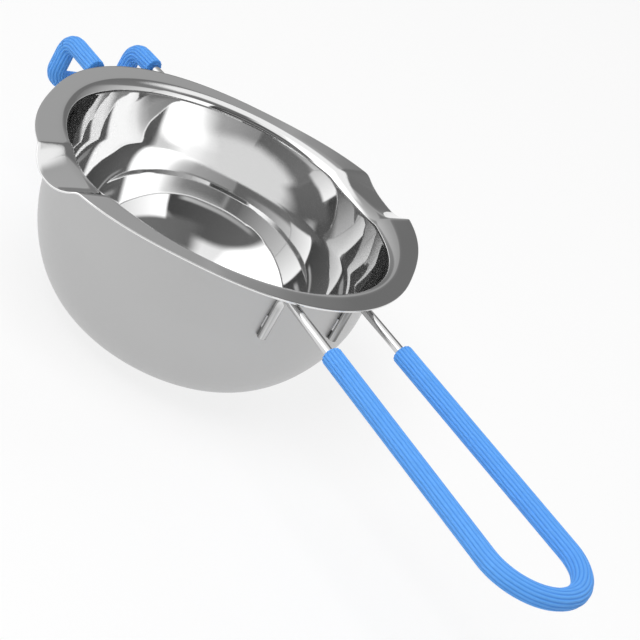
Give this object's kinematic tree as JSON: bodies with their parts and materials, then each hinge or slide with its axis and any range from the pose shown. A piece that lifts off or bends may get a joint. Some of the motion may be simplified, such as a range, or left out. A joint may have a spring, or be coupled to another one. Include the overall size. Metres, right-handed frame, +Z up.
{
  "type": "wax melting pot",
  "caption": "Hanging melting pot for candle wax: polished steel bowl with a flange and two pouring spouts, a looped rod handle and a rod hook in ribbed silicone sleeves.",
  "frame": {"origin": "middle of the flat base of the bowl, on the surface that the pot stands on", "axes": "+Z up along the bowl's axis, +X along the handle away from the bowl, the hook at -X and the two spouts at +Y and -Y"},
  "size_m": [0.3186, 0.1658, 0.0696],
  "materials": {
    "polished_sheet": "mirror-polished stainless steel inside, satin-polished outside",
    "steel_rod": "bright drawn and polished stainless steel rod",
    "weld_metal": "ground weld bead, a little duller than the rod",
    "silicone": "matte silicone rubber with fine lengthwise ribs"
  },
  "bodies": {
    "root": {"bowl": "polished_sheet", "handle_rod": "steel_rod", "handle_sleeve": "silicone", "hook_rod": "steel_rod", "hook_sleeve": "silicone", "handle_weld_left": "weld_metal", "handle_weld_right": "weld_metal", "hook_weld_left": "weld_metal", "hook_weld_right": "weld_metal"}
  },
  "joints": []
}
